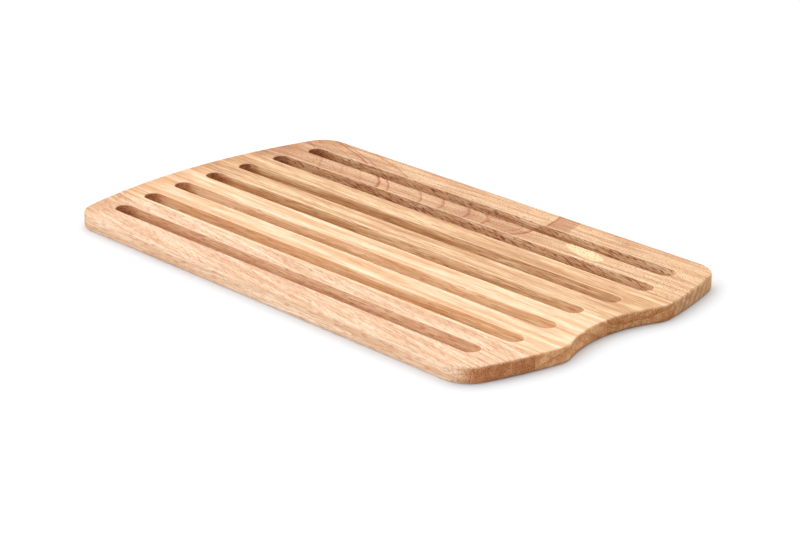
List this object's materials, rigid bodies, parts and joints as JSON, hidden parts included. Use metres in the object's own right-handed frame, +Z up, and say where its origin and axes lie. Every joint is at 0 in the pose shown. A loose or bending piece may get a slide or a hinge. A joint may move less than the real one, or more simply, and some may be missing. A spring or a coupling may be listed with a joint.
{
  "type": "slotted bread board",
  "caption": "Flat hardwood bread board with long through slots for crumbs, bowed ends and a finger notch in one end, edge-glued from staves.",
  "frame": {"origin": "centre of the board's footprint, on the face that it rests on", "axes": "+X along the slots and the grain, towards the end with the finger notch; +Y across the slots, from the front stave to the back stave; +Z up, out of the cutting face"},
  "size_m": [0.4415, 0.252, 0.0115],
  "materials": {
    "pinkish_wood": "oiled satin, fine brown pores",
    "pale_wood": "oiled satin",
    "cream_wood": "oiled satin",
    "flamed_wood": "oiled satin, reddish-brown heartwood figure"
  },
  "bodies": {
    "root": {"front_stave": "pinkish_wood", "front_middle_stave": "pale_wood", "back_middle_stave": "cream_wood", "back_stave": "flamed_wood"}
  },
  "joints": []
}
